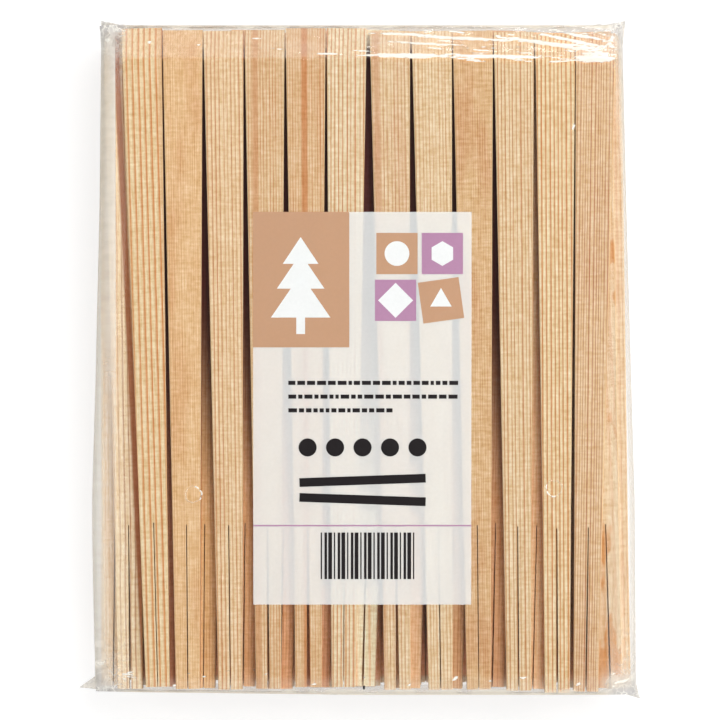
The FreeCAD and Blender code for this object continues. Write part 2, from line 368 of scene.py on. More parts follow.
class CedarGrain:
    """The cedar's year rings, fibres and cross figure, as one node group.

    The patterns, from MEANDER to FLECKS, are in cycles a metre along each axis. RING_RISE and
    RING_EDGE are shares of a ring: where its late wood starts and is full, and where it ends.
    """

    # Painted shade for sides that other pairs shut in, a painted highlight and shade for the arrises,
    # and painted shade for tops far down in gaps.
    GAP_SHADE = shade(146, 60, 54)
    ARRIS_HIGHLIGHT = shade(252, 218, 166)
    ARRIS_SHADE = shade(92, 40, 30)
    DEEP_SHADE = shade(104, 54, 60)
    MEANDER = (14, 5, 14)
    QUIVER = (90, 32, 90)
    CLOUDS = (110, 26, 110)
    STAINS = (200, 75, 200)
    FIBRES = (2600, 55, 2600)
    RIPPLES = (200, 1150, 200)
    FLECKS = (800, 480, 800)
    RING_RISE = (0.90, 0.86)
    RING_EDGE = 0.88
    BAND_EDGES = (0.6 * MM, 1.7 * MM)
    SLIT_SIDES = (1.2 * MM, 1.8 * MM)
    TOWARD_HEADS = (-190 * MM, -90 * MM)
    PAST_SLANT = (-8 * MM, -5 * MM)

    def __init__(self) -> None:
        """Builds the group once. Its inputs are a place in the wood, a seed and a plank's fields."""
        self.tree = bpy.data.node_groups.new("cedar_grain", "ShaderNodeTree")
        kinds = {"place": "Vector", "early": "Color", "late": "Color"}
        sockets = [("OUTPUT", "Colour", "Color"), ("OUTPUT", "Roughness", "Float"),
                   ("OUTPUT", "Height", "Float")]
        for name in ("place", "seed", *Plank().inputs()):
            sockets.append(("INPUT", name, kinds.get(name, "Float")))
        for way, name, kind in sockets:
            self.tree.interface.new_socket(name, in_out=way, socket_type=f"NodeSocket{kind}")
        self._wire(Graph(self.tree))

    def _wire(self, g: Graph) -> None:
        """Joins the group's nodes.

        Args:
            g: The group's tree.
        """
        given = g.place("NodeGroupInput").outputs
        place, seed = given["place"], given["seed"]
        x, y, z = g.parts(place)
        shift = g.value("CombineXYZ", {
            0: g.times(seed, 1.71), 1: g.times(seed, 2.93), 2: g.times(seed, 0.83)})

        slow = g.math("SUBTRACT", g.noise(place, self.MEANDER, 1.0, shift), 0.5)
        sway = g.vary(g.noise(place, self.QUIVER, 1.0, shift), 0.22, slow)
        over = g.plus(g.times(x, g.math("COSINE", given["slant"])),
                      g.times(z, g.math("SINE", given["slant"])))
        cut = g.lift(sway, given["waver"], over)
        count = g.plus(g.math("DIVIDE", cut, given["rings"]), seed)
        uneven = g.value("TexNoise", {"W": g.times(count, 0.37), "Scale": 1.0, "Detail": 1.0},
                         noise_dimensions="1D")
        count = g.lift(uneven, given["uneven"], count)
        across = g.math("FRACT", count)
        age = g.value("TexWhiteNoise", {"W": g.plus(g.math("FLOOR", count), seed)},
                      noise_dimensions="1D")
        foot, crest = self.RING_RISE
        rise = g.step(across, g.math("SUBTRACT", foot, given["width"]), crest)
        bold = g.even(age, 0.0, 1.0, given["faint"], 1.0)
        late = g.times(rise, g.fade(across, self.RING_EDGE, 1.0), bold, given["contrast"])

        # A band along the pair: a warm grain line on some pairs, and a painted shadow on the first pair
        # of row 7.
        band = g.lift(y, given["shadow_lean"], g.math("SUBTRACT", x, given["band_at"]))
        grain_and_shadow_band = g.times(g.fade(g.math("ABSOLUTE", band), *self.BAND_EDGES), given["grain_and_shadow_band"])
        cloud = g.step(g.noise(place, self.CLOUDS, 2.0, shift), 0.42, 0.72)
        stain = g.step(g.noise(place, self.STAINS, 1.0, shift), 0.53, 0.61)
        tint = g.plus(g.math("MAXIMUM", late, grain_and_shadow_band), g.times(cloud, given["mottle"], 0.5))
        tint = g.math("MINIMUM", g.plus(tint, g.times(stain, given["blotch"])), 1.0)
        body = g.mix(tint, given["early"], given["late"])

        fibre = g.noise(place, self.FIBRES, 2.0, shift)
        ripple = g.noise(place, self.RIPPLES, 1.0, shift)
        fleck = g.noise(place, self.FLECKS, 2.0, shift)
        light = g.vary(ripple, given["ripple"], g.vary(fibre, 0.75, 1.0))
        light = g.vary(fleck, 0.45, light)
        bright = g.math("MAXIMUM", light, 0.0)
        grey = g.value("CombineColor", {
            0: g.math("POWER", bright, 0.55), 1: light, 2: g.math("POWER", bright, 1.7)})
        colour = g.mix(1.0, body, grey, "MULTIPLY")

        colour = self._shade_faces(g, colour, x, y, given)
        rough = g.lift(late, -0.10, g.vary(fibre, 0.25, 0.62))
        height = g.lift(late, 0.35, g.lift(fibre, 0.7, g.times(ripple, 0.35)))
        g.place("NodeGroupOutput", {"Colour": colour, "Roughness": rough, "Height": height})

    def _shade_faces(self, g: Graph, colour: Socket, x: Socket, y: Socket,
                     given: bpy.types.bpy_prop_collection) -> Socket:
        """Paints shade on the sides and on tops far down in a gap, and a highlight on the arrises.

        Args:
            g: The group's tree.
            colour: The wood's colour so far.
            x: The place across the pair.
            y: The place along it, from its heads.
            given: The group's inputs.

        Returns:
            The colour.
        """
        facing = g.parts(g.place("NewGeometry").outputs["True Normal"])
        steep, level = g.math("ABSOLUTE", facing[0]), g.math("ABSOLUTE", facing[2])
        side, upper = g.step(steep, 0.35, 0.6), g.step(level, 0.35, 0.6)
        # Painted shade on the sides that other pairs shut in, stronger toward the heads, where the gaps
        # narrow, and not on the slit's walls.
        toward_heads = g.step(y, *self.TOWARD_HEADS)
        shut_in = g.times(given["sawn"], g.lift(toward_heads, 0.45, 0.55),
                          g.step(g.math("ABSOLUTE", x), *self.SLIT_SIDES))
        sawn = g.times(side, g.fade(level, 0.1, 0.4), shut_in)
        colour = g.mix(sawn, colour, self.GAP_SHADE, "MULTIPLY")
        arris = g.times(side, upper)
        # A painted highlight on the arrises, and painted shade on them where they are shut in.
        colour = g.mix(g.times(arris, 0.45), colour, self.ARRIS_HIGHLIGHT)
        colour = g.mix(g.times(arris, shut_in, 0.15), colour, self.ARRIS_SHADE, "MULTIPLY")
        # Painted shade on tops that lie far down in a gap, toward the heads but not at the very heads.
        deep_shade = g.times(g.step(facing[2], 0.35, 0.6), g.fade(y, *self.PAST_SLANT), toward_heads,
                       given["deep_shade"])
        return g.mix(deep_shade, colour, self.DEEP_SHADE, "MULTIPLY")


@dataclass
class Fan:
    """A row of pairs that spread like a fan: the points at its heads and at its tips."""

    pairs: int
    heads: Array
    tips: Array
    # Painted shade: the redder, darker wood colour of the row's inside, away from its outer pairs and
    # ends.
    inner: Colour = shade(246, 186, 146)
    inner_x: Pair = (80 * MM, 84 * MM)
    off_heads: Pair = (18 * MM, 14 * MM)
    off_tips: Pair = (2 * MM, 4 * MM)

    def split(self, g: Graph, place: Socket, seed: float) -> tuple[Socket, Socket, Socket]:
        """Gives each pair of the row its own place across and its own seed.

        Args:
            g: The material's tree.
            place: The place in the row.
            seed: The row's seed.

        Returns:
            The place in the pair, the pair's seed, and how far inside the row it is, 0 to 1.
        """
        x, y, z = g.parts(place)
        head_y, tip_y = self.heads[:, 1].max(), self.tips[:, 1].min()
        share = g.even(y, tip_y, head_y)
        left = g.even(share, 0.0, 1.0, self.tips[:, 0].min(), self.heads[:, 0].min())
        right = g.even(share, 0.0, 1.0, self.tips[:, 0].max(), self.heads[:, 0].max())
        pitch = g.math("DIVIDE", g.math("SUBTRACT", right, left), float(self.pairs))
        count = g.math("DIVIDE", g.math("SUBTRACT", x, left), pitch)
        across = g.times(g.math("SUBTRACT", g.math("FRACT", count), 0.5), pitch)
        own = g.value("CombineXYZ", {0: across, 1: y, 2: z})
        inside = g.times(g.fade(g.math("ABSOLUTE", x), *self.inner_x),
                         g.fade(y, *[head_y - gap for gap in self.off_heads]),
                         g.step(y, *[tip_y + gap for gap in self.off_tips]))
        return own, g.lift(g.math("FLOOR", count), 4.37, seed), inside


@dataclass
class CedarFinish:
    """A cedar material for one node, its grain turned and centred on the piece."""

    grain: CedarGrain
    name: str
    plank: Plank
    seed: float
    centre: tuple[float, ...] = (0.0, 0.0, 0.0)
    turn: float = 0.0
    open_side: int = 0
    fan: Fan | None = None

    def material(self) -> Material:
        """Builds the material.

        Returns:
            The material. A fan's wood changes from pair to pair, and a pair at the end of its row
            gets less painted shade on its open side, -1 or 1.
        """
        g = MaterialGraph(f"cedar_{self.name}")
        values = self.plank.inputs() | {"seed": self.seed, "place": g.value("Mapping", {
            "Vector": g.here(), "Location": self.centre, "Rotation": (0.0, 0.0, self.turn)},
            vector_type="TEXTURE")}
        if self.fan:
            values["place"], values["seed"], inside = self.fan.split(g, values["place"], self.seed)
            # Inside the row, the wood is painted redder and darker: a painted shade for the wood that
            # shows down the gaps.
            values["early"] = g.mix(inside, values["early"], self.fan.inner)
        if self.open_side:
            outward = g.times(g.parts(values["place"])[0], float(self.open_side))
            values["sawn"] = g.step(outward, -1 * MM, 1 * MM, self.plank.sawn, OPEN_GAP_SHADE)
        wood = g.place("Group", values, node_tree=self.grain.tree).outputs
        bump = g.value("Bump", {"Height": wood["Height"], "Strength": 0.35, "Distance": 0.2 * MM})
        return g.finish(g.value("BsdfPrincipled", {
            "Base Color": wood["Colour"], "Roughness": wood["Roughness"], "Normal": bump,
            "Specular IOR Level": 0.12}))


@dataclass
class CedarPairs:
    """All the pairs of chopsticks: the frame's own shapes, each dressed in its own cedar."""

    nodes: dict
    grain: CedarGrain
    top: tuple[Plank, ...] = (
        Plank((237, 212, 168), (210, 126, 54), 2.1, 0.9, uneven=0.35, faint=0.85, mottle=0.05,
              waver=0.3, band_at=6.7, grain_and_shadow_band=0.35),
        Plank((236, 197, 148), (204, 134, 80), 0.85, 0.5, mottle=0.55),
        Plank((238, 210, 168), (200, 126, 74), 1.45, 0.9, faint=0.6, mottle=0.15),
        Plank((230, 201, 159), (200, 124, 66), 1.1, 0.85, band_at=-3.6, grain_and_shadow_band=0.55),
        Plank((228, 195, 152), (200, 120, 58), 1.0, 0.85, band_at=-0.6, grain_and_shadow_band=0.7),
        Plank((235, 215, 177), (204, 126, 68), 1.5, 0.95, width=0.45, faint=0.65, mottle=0.05),
        Plank((234, 209, 169), (196, 124, 78), 1.3, 0.8, mottle=0.45, band_at=-5.0, grain_and_shadow_band=0.5),
        Plank((234, 209, 168), (202, 138, 92), 1.2, 0.8, mottle=0.2),
        Plank((226, 190, 143), (194, 122, 76), 0.85, 0.5, mottle=0.6, ripple=0.6),
        Plank((233, 208, 167), (198, 130, 78), 1.35, 0.9, faint=0.75, width=0.45, mottle=0.1),
        Plank((237, 215, 172), (204, 128, 68), 1.5, 1.0, faint=0.9, uneven=0.4, mottle=0.1, sawn=0.75),
        Plank((233, 202, 160), (182, 108, 70), 1.05, 0.95, faint=0.6, mottle=0.3),
    )
    # Row 7, under the top row. Most of its pairs get painted shade on the tops that show in the gaps
    # above.
    below: tuple[Plank, ...] = (
        # The first pair of row 7: its band lies along the edge of the top row's first pair, a painted
        # shadow of that pair.
        Plank((245, 222, 184), (184, 122, 84), 1.7, 0.9, slant=14, waver=3.4, width=0.35, mottle=0.1,
              band_at=-2.95, grain_and_shadow_band=1.0, shadow_lean=0.0355),
        Plank((228, 162, 120), (198, 114, 78), 1.2, 0.6, deep_shade=1.0),
        Plank((252, 206, 146), (214, 132, 74), 1.1, 0.7, deep_shade=1.0),
        Plank((248, 196, 142), (214, 130, 76), 1.0, 0.5, deep_shade=1.0),
        Plank((248, 190, 138), (208, 116, 72), 1.2, 0.6, deep_shade=1.0),
        Plank((244, 186, 138), (204, 122, 80), 1.4, 0.6, deep_shade=1.0),
        Plank((255, 240, 202), (244, 172, 100), 2.8, 0.85, slant=50, waver=3.8, width=0.3, deep_shade=1.0),
        Plank((255, 212, 164), (226, 150, 92), 1.1, 0.5, deep_shade=1.0),
        Plank((234, 188, 138), (200, 122, 72), 1.2, 0.6, deep_shade=1.0),
        Plank((234, 182, 132), (200, 116, 68), 1.0, 0.5, deep_shade=1.0),
        Plank((255, 214, 162), (240, 142, 90), 1.3, 0.5, deep_shade=0.06),
        Plank((234, 209, 172), (214, 150, 88), 2.4, 0.35, slant=30, waver=4.0, mottle=0.3, blotch=0.65),
    )
    inner: Plank = Plank((240, 217, 182), (210, 150, 98), 1.3, 0.5, slant=14, waver=1.0, sawn=OPEN_GAP_SHADE)
    hidden_rows: tuple[tuple[int, int], ...] = ((2, 12), (3, 13), (4, 13), (5, 13), (6, 13))
    end_band: float = 3 * MM

    def dress(self) -> None:
        """Gives every wooden node of the frame its material."""
        for row, planks in (("top_row", self.top), ("row_7", self.below)):
            for number, plank in enumerate(planks, 1):
                open_side = {1: -1, len(planks): 1}.get(number, 0)
                self._dress_pair(f"{row}_pair_{number:02d}", plank, number * 3.17, open_side)
        lots = random.Random(12)
        for number in range(1, 13):
            plank = replace(self.top[lots.randrange(12)], rings=lots.uniform(1.0, 2.0),
                            slant=lots.choice((3, 8, 40)), waver=lots.uniform(0.4, 1.5),
                            sawn=OPEN_GAP_SHADE)
            self._dress_pair(f"bottom_row_pair_{number:02d}", plank, 40 + number * 2.9)
        for number, pairs in self.hidden_rows:
            self._dress_row(number, pairs)

    def _ends(self, name: str) -> tuple[Array, Array]:
        """The points of a node's heads, and those of its tips."""
        points, (low, high) = points_of(self.nodes[name]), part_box(name)
        y = points[:, 1]
        return points[y > high.y - self.end_band], points[y < low.y + self.end_band]

    def _put(self, finish: CedarFinish) -> None:
        """Puts a finish on its node of the frame.

        Args:
            finish: The finish, which names the node.
        """
        material = finish.material()
        for slot in self.nodes[finish.name].material_slots:
            slot.material = material
        LOG.info("dressed %s", finish.name)

    def _dress_pair(self, name: str, plank: Plank, seed: float, open_side: int = 0) -> None:
        """Gives one pair its cedar, with the grain along its own lean.

        Args:
            name: The pair's node.
            plank: Its wood.
            seed: What makes its figure differ from the others'.
            open_side: The side that no other pair stands at: -1, 1, or 0 for none.
        """
        head, tip = [(points.min(0) + points.max(0)) / 2 for points in self._ends(name)]
        turn = -math.atan2(head[0] - tip[0], head[1] - tip[1])
        self._put(CedarFinish(self.grain, name, plank, seed, tuple(head), turn, open_side))

    def _dress_row(self, number: int, pairs: int) -> None:
        """Gives a whole row its cedar, which changes from pair to pair.

        Args:
            number: The row's number, from the bottom.
            pairs: How many pairs lie in it.
        """
        name = f"row_{number}_pairs"
        fan = Fan(pairs, *self._ends(name))
        self._put(CedarFinish(self.grain, name, self.inner, 80 + number * 7.3, fan=fan))


# Film

MARKS = ("haze", "painted_glint", "crumple", "veil", "pocket")


@dataclass(frozen=True)
class ClearFilm:
    """Thin clear polypropylene: see-through, milky where it stands off, glints painted on its creases.

    The patterns, from facets to broad, are in cycles a metre. Crushed parts get painted shade.
    """

    haze: Colour = shade(242, 239, 230)
    # The white of the painted glints along the creases.
    stroke: Colour = shade(255, 252, 243)
    steep: Colour = shade(236, 226, 208)
    pocket_x: float = -88.9 * MM
    pocket_edge: float = 0.25 * MM
    haze_roughness: float = 0.4
    gloss_roughness: float = 0.08
    mirror_low: float = 0.012
    mirror_high: float = 0.12
    facets: Triple = (420, 330, 300)
    streaks: Triple = (60, 260, 120)
    ragged: Triple = (260, 1500, 400)
    torn: Triple = (500, 700, 500)
    wrinkles: Triple = (380, 300, 240)
    fine: Triple = (240, 900, 300)
    broad: Triple = (55, 120, 80)

    def material(self) -> Material:
        """Builds the film's material.

        Returns:
            The material.
        """
        g = MaterialGraph("clear_film")
        place = g.here()
        haze, painted_glint, crumple, veil, pocket = [
            g.place("Attribute", attribute_name=name).outputs["Fac"] for name in MARKS]
        facing = g.place("LayerWeight", {"Blend": 0.5}).outputs["Facing"]
        # Voronoi facets on crushed film: painted shade that makes each facet lighter or darker and more
        # or less milky.
        cells = g.value("VectorMath", {0: place, 1: self.facets}, operation="MULTIPLY")
        cells = g.place("TexVoronoi", {"Vector": cells, "Scale": 1.0}).outputs["Color"]
        facet_shade = g.times(g.math("SUBTRACT", g.value("SeparateColor", {0: cells}), 0.5), crumple)

        beside = g.fade(g.parts(place)[0], self.pocket_x - self.pocket_edge,
                        self.pocket_x + self.pocket_edge)
        milky = g.math("MAXIMUM", haze, g.times(beside, pocket))
        milky = g.times(milky, g.step(g.noise(place, self.streaks, 3.0), 0.25, 0.75, 0.9, 1.1))
        milky = g.lift(veil, g.step(facing, 0.5, 0.85), milky)
        milky = g.lift(facet_shade, 0.32, milky)

        # Painted white glints: ragged lines along the crease ridges, and thin wrinkle lines where the
        # film is crushed.
        edge = g.vary(g.noise(place, self.ragged, 2.0), 0.6, painted_glint)
        edge = g.vary(g.noise(place, self.torn), 0.5, edge)
        wrinkle_glint = g.math("SUBTRACT", g.noise(place, self.wrinkles, 1.5), 0.5)
        wrinkle_glint = g.times(g.fade(g.math("ABSOLUTE", wrinkle_glint), 0.0, 0.06), crumple)
        stroke = g.math("MAXIMUM", g.times(g.step(edge, 0.34, 0.56), 0.88), wrinkle_glint)
        milky = g.math("MINIMUM", g.math("MAXIMUM", milky, stroke), 1.0)

        # Crushed film is painted darker, a painted shade, and each facet lighter or darker.
        crumple_shade = g.lift(crumple, -0.3, g.lift(facet_shade, 0.3, 1.0))
        grey = g.value("CombineColor", {0: crumple_shade, 1: crumple_shade, 2: g.lift(crumple, 0.06, crumple_shade)})
        sides = g.math("MAXIMUM", veil, g.times(haze, g.lift(crumple, -0.8, 0.8)))
        cloud = g.mix(sides, g.mix(1.0, self.haze, grey, "MULTIPLY"), self.steep, "MULTIPLY")
        cloudy = g.value("BsdfPrincipled", {
            "Base Color": g.mix(stroke, cloud, self.stroke), "Roughness": self.haze_roughness,
            "Specular IOR Level": 0.3})

        height = g.lift(g.noise(place, self.fine, 2.0), 0.12, g.noise(place, self.broad))
        bump = g.value("Bump", {"Height": height, "Strength": 0.5, "Distance": 0.6 * MM})
        mirror = g.value("BsdfPrincipled", {
            "Base Color": (1.0, 1.0, 1.0, 1.0), "Metallic": 1.0,
            "Roughness": self.gloss_roughness, "Normal": bump})
        body = g.value("MixShader", {0: milky, 1: g.value("BsdfTransparent"), 2: cloudy})
        share = g.lift(g.math("POWER", facing, 4.0), self.mirror_high, self.mirror_low)
        return g.finish(g.value("MixShader", {0: share, 1: body, 2: mirror}), lamps_pass=True)


def marked(film: Piece, *values: Array | float) -> None:
    """Writes how the film looks at each point: one value, or one a point, for each of MARKS.

    Args:
        film: The film's piece.
        *values: How milky it is from any side, its share of painted white glints, how crushed it is
            (which paints shade on it), how milky it is only when seen along the film, and how milky
            the fold beside pair 1 is.
    """
    for name, value in zip(MARKS, values, strict=True):
        layer = film.data.attributes.new(name, "FLOAT", "POINT")
        value = np.broadcast_to(value, len(film.data.vertices))
        layer.data.foreach_set("value", value.astype(np.float32))


@dataclass(frozen=True)
class Crease:
    """A raised line in the film, from one place to another. Sizes are in millimetres."""

    x: float
    y: float
    to_x: float
    to_y: float
    height: float
    width: float
    # How much painted white glint the crease's ridge gets.
    painted_glint: float


@dataclass(frozen=True)
class Milkiness:
    """How milky the film is at its parts, 0 to 1, with places and widths in millimetres.

    A patch has an x, a y, a width, a height and its milkiness, a side band has a y, a width and its
    milkiness, and the pocket, the fold beside the first pair, has a y and its milkiness.
    """

    least: float = 0.006
    slant: float = 0.055
    end: float = 0.4
    corner: float = 0.25
    floor: float = 0.06
    weld: float = 0.6
    ear: float = 0.65
    lip: float = 0.12
    patches: tuple = ((97, -119, 7, 4.5, 0.5), (-96, -114, 4, 8, 0.12), (-91, 118, 5, 7, 0.25),
                      (91, 121, 5, 3, 0.25), (22, 116, 16, 2.4, 0.10), (86, 111.5, 8, 2.4, 0.22),
                      (-20, 113, 10, 2.5, 0.05))
    left_bands: tuple = ((-125, 4.4, 0.42), (-58, 4.2, 0.42), (-5, 3.4, 0.46), (45, 2.6, 0.48),
                         (62, 2.6, 0.60), (125, 3.0, 0.60))
    right_bands: tuple = ((-125, 1.5, 0.42), (40, 1.3, 0.42), (70, 1.6, 0.50), (125, 1.9, 0.60))
    pocket: tuple = ((-110, 0.0), (-15, 0.22), (20, 0.42), (60, 0.60))


@dataclass
class Creases:
    """The raised lines in the bag's top, in millimetres.

    A stroke has the values of a Crease, a speck has an x and a y, and an area has its two x and its
    two y. A speck is a short crease whose ridge is painted fully white, a painted glint.
    """

    faint: int = 64
    faint_area: tuple = (-84, 92, 108.8, 120.5)
    nicks: int = 34
    nick_area: tuple = (-88, 92, -119, -113)
    strokes: tuple = (
        (3, 110.3, 34, 110.0, 0.5, 0.95, 0.95), (30, 110.2, 69, 109.5, 0.5, 0.8, 0.9),
        (6, 115.6, 40, 113.8, 0.35, 0.55, 0.75), (4, 118.6, 30, 117.6, 0.35, 0.7, 0.8),
        (14, 117.6, 60, 115.6, 0.4, 0.7, 0.85), (44, 118.2, 92, 110.9, 0.45, 0.7, 0.9),
        (52, 116.0, 88, 113.2, 0.4, 0.6, 0.85), (62, 119.0, 93, 112.4, 0.4, 0.65, 0.9),
        (70, 119.4, 94, 115.0, 0.4, 0.6, 0.85), (76, 121.0, 90, 114.0, 0.35, 0.4, 0.6),
        (78, 109.0, 93, 109.1, 0.6, 1.3, 1.0), (79, 110.8, 93, 110.9, 0.4, 0.8, 0.8),
        (66, 107.7, 80, 108.6, 0.4, 0.5, 0.7), (-18, 111.0, -7, 110.8, 0.35, 0.5, 0.8),
        (-42, 113.5, -22, 112.2, 0.3, 0.35, 0.5), (-77.5, 115.8, -75.5, 114.5, 0.4, 0.6, 0.9),
        (-97.5, -103, -89.0, -118.5, 0.4, 0.7, 0.55), (-98.5, -106, -94.0, -119.0, 0.4, 0.6, 0.5),
        (86, -117, 99, -112, 0.35, 0.7, 0.55), (90, -120, 100, -116, 0.6, 0.9, 0.85),
        (94, 121, 90, 112, 0.4, 0.4, 0.6), (90, 122, 93, 113, 0.4, 0.5, 0.8),
        (84, 119.5, 92, 117, 0.4, 0.5, 0.7), (88, 116, 94, 112, 0.4, 0.6, 0.8),
        (-94, 122, -87.5, 114, 0.4, 0.8, 0.7), (-90, 123, -93.8, 110, 0.4, 0.8, 0.65),
        (-94, 114, -88, 109, 0.3, 0.3, 0.45))
    specks: tuple = (
        (-0.7, 104), (88, 102.6), (90, 75), (87, 58), (76.8, 85), (63.2, 84.8), (-0.6, 106),
        (-83.6, -114), (-81.5, -115.8), (-53.6, -114), (-39, -114), (32.5, -117.2), (34.5, -115.8),
        (47, -115.6), (60, -113.4), (66, -118), (78, 101.5), (-30, 104))
    lots: random.Random = field(default_factory=lambda: random.Random(7))

    def found(self) -> list[Crease]:
        """The raised lines: strokes over the slanted heads, fans at the corners, nicks at the tips.

        Returns:
            The creases, each with its share of painted white glint.
        """
        lots = self.lots
        found = [Crease(*stroke) for stroke in self.strokes]
        left, right, low, high = self.faint_area
        for _ in range(self.faint):
            x = lots.triangular(left, right, 84)
            y = lots.uniform(low, high)
            run = lots.uniform(2, 14) * (1 if x > 0 else 0.4)
            fall = -run * lots.uniform(0.0, 0.16) * (1 if x > 30 else 0.3)
            painted_glint_share = lots.uniform(0.35, 0.85) if x > 0 or lots.random() < 0.35 else 0.3
            found.append(Crease(x - run / 2, y, x + run / 2, y + fall,
                                lots.uniform(0.15, 0.4), lots.uniform(0.3, 0.5), painted_glint_share))
        left, right, low, high = self.nick_area
        for _ in range(self.nicks):
            x, y = lots.uniform(left, right), lots.uniform(low, high)
            run = lots.uniform(0.8, 3.5)
            painted_glint_share = lots.choice((0.3, 0.5, 0.8))
            found.append(Crease(x - run / 2, y, x + run / 2, y + lots.uniform(-1, 1),
                                lots.uniform(0.15, 0.4), lots.uniform(0.4, 0.7), painted_glint_share))
        for x, y in self.specks:
            found.append(Crease(x, y, x + lots.uniform(0.4, 1.4), y + lots.uniform(-0.6, 0.6),
                                0.3, 0.5, 1.0))
        return found


@dataclass
class FilmBag:
    """The clear bag drawn over the pairs: its skin, its end welds, folded corners and vent holes.

    The two crushes of corners and ends, uneven and wave are heights in millimetres. side_crush is the
    share of a corner's crush that its sides get. A vent is looked for in vent_area, from its first x
    to its second and its first y to its second, in steps of vent_step, all in millimetres.
    """

    film: Piece
    cells: tuple[int, int, int] = (120, 140, 16)
    band_shares: Pair = (-0.74, 0.52)
    wall: float = 0.10 * MM
    weld_wall: float = 0.20 * MM
    ear_wall: float = 0.15 * MM
    proud: float = 0.02 * MM
    tent: float = 1.1 * MM
    tent_reach: Pair = (19 * MM, 20.5 * MM)
    outside: float = 300 * MM
    end_level: float = 10 * MM
    weld_height: float = 20.5 * MM
    weld_band: float = 0.5 * MM
    side_level: float = 24 * MM
    margin: float = 0.3 * MM
    face_margins: Pair = (0.2 * MM, 0.15 * MM)
    floor_band: float = 0.5 * MM
    head_band: float = 15 * MM
    tip_band: float = 22 * MM
    slant_length: float = 12.2 * MM
    ear_folds: Pair = (6 * MM, 12 * MM)
    tip_slope: float = 1.15 * MM
    slope_reach: float = 15 * MM
    half_width: float = 95 * MM
    belly_y: float = -65 * MM
    belly_reach: float = 55 * MM
    belly_bulge: float = 1.1 * MM
    waist_from: float = 15 * MM
    waist_reach: Pair = (40 * MM, 8 * MM)
    waist_depth: float = 0.5 * MM
    end_reach: float = 9 * MM
    corner_reach: float = 3 * MM
    flare_reach: float = 16 * MM
    tip_crimp: Pair = (0.6 * MM, 0.5 * MM)
    head_crimp: Pair = (1.1 * MM, 1.4 * MM)
    corner_crush: float = 0.55
    side_crush: float = 0.6
    end_crush: float = 0.14
    uneven: float = 0.05
    wave: float = 1.6
    vent: float = 2.8 * MM
    vent_area: tuple = (50, 80, -56, -40)
    vent_step: float = 0.25
    vent_drop: float = 8 * MM
    lip: float = 0.28 * MM
    lip_gap: float = 0.1 * MM
    milky: Milkiness = Milkiness()
    creases: Creases = field(default_factory=Creases)

    def __post_init__(self) -> None:
        """Measures the frame's film: its two ends and its top."""
        mesh = self.film.data
        points = [v.co.copy() for v in mesh.vertices]
        self.tree = BVHTree.FromPolygons(points, [tuple(p.vertices) for p in mesh.polygons])
        self.top_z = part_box("film_bag")[1].z
        self.head_y, self.tip_y = [
            self._hit((0, end * self.outside, self.end_level), 1).y for end in (1, -1)]

    def _hit(self, start: Triple, axis: int) -> Vector:
        """Where a line from a start, along an axis toward the middle, first meets the frame's film."""
        way = [-math.copysign(1, start[i]) if i == axis else 0 for i in range(3)]
        return self.tree.ray_cast(Vector(start), Vector(way))[0]

    def _inside(self, y: float) -> float:
        """A place along the bag, kept between its two ends."""
        return min(max(y, self.tip_y + self.margin), self.head_y - self.margin)

    def _reach(self, side: int, y: float, z: float) -> float:
        """How far out the body's side is.

        Args:
            side: 1 for the right side, -1 for the left.
            y: The place along the bag.
            z: The height. Beside the weld, the side just above it is read.

        Returns:
            The x of the side there.
        """
        if abs(z - self.weld_height) < self.weld_band:
            z = self.weld_height + self.weld_band
        return self._hit((side * self.outside, self._inside(y), z), 0).x

    def top_at(self, x: float, y: float) -> float:
        """The height of the bag's top at a place."""
        return self._hit((x, self._inside(y), self.outside), 2).z

    def build(self) -> Piece:
        """Makes the whole bag.

        Returns:
            The finished bag, one mesh.
        """
        skin = self._block()
        self._drape(skin)
        self._crease(skin)
        modified(skin, "SOLIDIFY", thickness=self.wall, offset=-1)
        pieces = [skin, self._weld(1), self._weld(-1)]
        pieces += [self._ear(side, end) for end in (1, -1) for side in (-1, 1)]
        pieces += [self._punch(skin, centre) for centre in self._vents()]
        joined("film_skin", pieces)
        bpy.ops.object.shade_smooth_by_angle(angle=math.radians(50))
        return skin

    def _block(self) -> Piece:
        """A block of even cells, from -1 to 1 on each axis, from which the skin is draped.

        Returns:
            The block.
        """
        block = started(bpy.ops.mesh.primitive_cube_add, size=2)
        for axis, cells in enumerate(self.cells):
            while cells > 1:
                parts = next(n for n in (10, 7, 5, 4, 3, 2) if cells % n == 0)
                self._cut(block, axis, parts - 1)
                cells //= parts
        return block

    @staticmethod
    def _cut(block: Piece, axis: int, cuts: int) -> None:
        """Divides all the edges that run along an axis.

        Args:
            block: The block.
            axis: 0, 1 or 2 for x, y or z.
            cuts: How many new points each edge gets.
        """
        points = points_of(block)
        ends = np.array([tuple(e.vertices) for e in block.data.edges])
        length = np.abs(points[ends[:, 0]] - points[ends[:, 1]])
        along = length[:, axis] > length.sum(1) - 1e-6
        bpy.ops.object.mode_set(mode="EDIT")
        bpy.ops.mesh.select_mode(type="EDGE")
        bpy.ops.mesh.select_all(action="DESELECT")
        bpy.ops.object.mode_set(mode="OBJECT")
        block.data.edges.foreach_set("select", along)
        bpy.ops.object.mode_set(mode="EDIT")
        bpy.ops.mesh.subdivide(number_cuts=cuts)
        bpy.ops.object.mode_set(mode="OBJECT")

